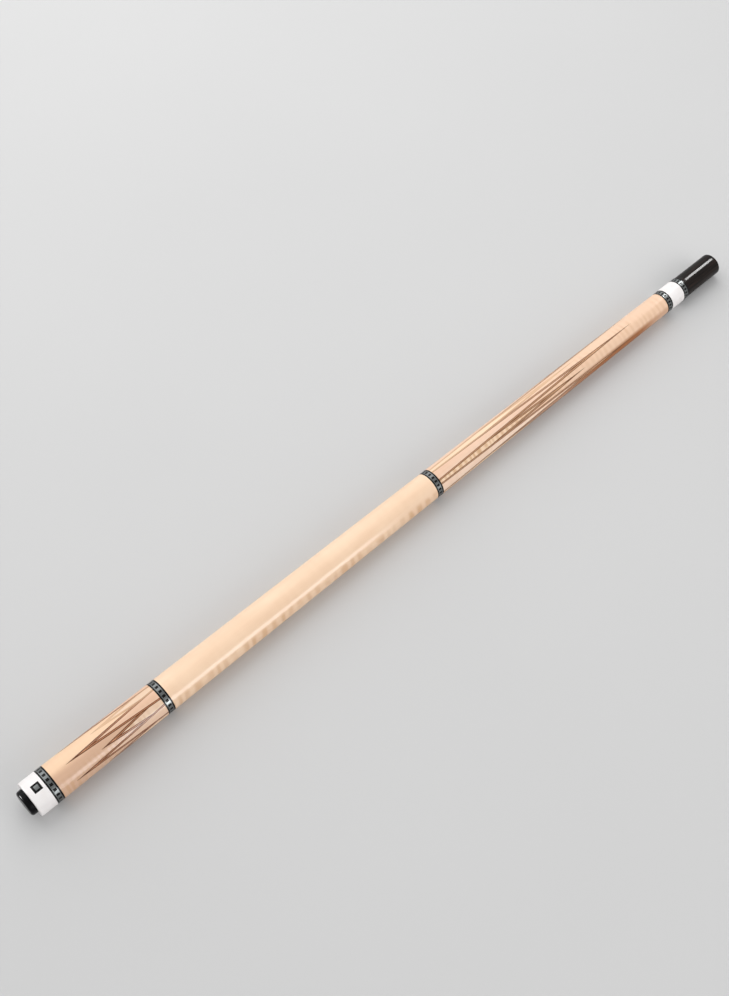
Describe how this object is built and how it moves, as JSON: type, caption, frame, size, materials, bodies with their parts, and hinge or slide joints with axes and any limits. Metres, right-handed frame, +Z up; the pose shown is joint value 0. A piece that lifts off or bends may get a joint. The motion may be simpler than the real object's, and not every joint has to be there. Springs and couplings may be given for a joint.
{
  "type": "pool cue butt",
  "caption": "Butt half of a two-piece pool cue: tapered maple with spliced points, dash rings, white cap and collar, screw-in bumper and screw-on joint protector.",
  "frame": {"origin": "centre of the bumper's flat end face, on the cue's axis", "axes": "+X along the axis from the bumper to the joint, +Z up with the cue lying level, +Y to the left of +X"},
  "size_m": [0.7812, 0.03, 0.03],
  "materials": {
    "cream_maple": "pale maple under clear gloss lacquer",
    "curly_maple": "curly maple under clear gloss lacquer",
    "pink_maple": "plain pinkish maple with dark veneers under clear gloss lacquer",
    "black_resin": "polished black ring material",
    "white_resin": "polished white resin",
    "nickel_silver": "polished nickel silver",
    "black_rubber": "smooth moulded rubber",
    "steel": "machined steel",
    "brass": "machined brass",
    "ebony": "near-black ebony under clear gloss lacquer"
  },
  "bodies": {
    "butt": {"bumper_bush": "brass", "weight_bolt": "steel", "butt_cap": "white_resin", "cap_inlay": "black_resin", "cap_ring_crown": "black_resin", "cap_ring_dashes": "nickel_silver", "cap_ring_washer": "black_resin", "sleeve_ring_crown": "black_resin", "sleeve_ring_dashes": "nickel_silver", "sleeve_ring_washer": "black_resin", "handle_ring_crown": "black_resin", "handle_ring_dashes": "nickel_silver", "handle_ring_washer": "black_resin", "collar_ring_crown": "black_resin", "collar_ring_dashes": "nickel_silver", "collar_ring_washer": "black_resin", "joint_ring_crown": "black_resin", "joint_ring_dashes": "nickel_silver", "joint_ring_washer": "black_resin", "butt_sleeve": "cream_maple", "handle": "curly_maple", "handle_stud": "steel", "forearm": "cream_maple", "sleeve_long_point_1": "pink_maple", "sleeve_long_point_2": "pink_maple", "sleeve_long_point_3": "pink_maple", "sleeve_long_point_4": "pink_maple", "sleeve_long_point_5": "pink_maple", "sleeve_long_point_6": "pink_maple", "sleeve_short_point_1": "curly_maple", "sleeve_short_point_2": "curly_maple", "sleeve_short_point_3": "curly_maple", "sleeve_short_point_4": "curly_maple", "sleeve_short_point_5": "curly_maple", "sleeve_short_point_6": "curly_maple", "forearm_long_point_1": "pink_maple", "forearm_long_point_2": "pink_maple", "forearm_long_point_3": "pink_maple", "forearm_long_point_4": "pink_maple", "forearm_long_point_5": "pink_maple", "forearm_long_point_6": "pink_maple", "forearm_short_point_1": "curly_maple", "forearm_short_point_2": "curly_maple", "forearm_short_point_3": "curly_maple", "forearm_short_point_4": "curly_maple", "forearm_short_point_5": "curly_maple", "forearm_short_point_6": "curly_maple", "joint_collar": "white_resin", "joint_pin": "steel"},
    "bumper_stud": {"bumper_stud": "brass"},
    "rubber_bumper": {"rubber_bumper": "black_rubber"},
    "protector_insert": {"protector_insert": "brass"},
    "protector_shell": {"protector_shell": "ebony"}
  },
  "joints": [
    {"name": "protector_travel", "type": "slide", "parent": "butt", "child": "protector_insert", "axis": [1, 0, 0], "range_m": [0, 0.0254]},
    {"name": "protector_turn", "type": "hinge", "parent": "protector_insert", "child": "protector_shell", "pos_m": [0.7366, 0, 0], "axis": [1, 0, 0], "range_deg": [0, 3600]},
    {"name": "bumper_travel", "type": "slide", "parent": "butt", "child": "bumper_stud", "axis": [-1, 0, 0], "range_m": [0, 0.0127]},
    {"name": "bumper_turn", "type": "hinge", "parent": "bumper_stud", "child": "rubber_bumper", "pos_m": [0, 0, 0], "axis": [-1, 0, 0], "range_deg": [0, 3600]}
  ],
  "couplings": [
    {"joint": "protector_travel", "follows": "protector_turn", "m_per_rad": 0.00040425},
    {"joint": "bumper_travel", "follows": "bumper_turn", "m_per_rad": 0.00020212}
  ]
}
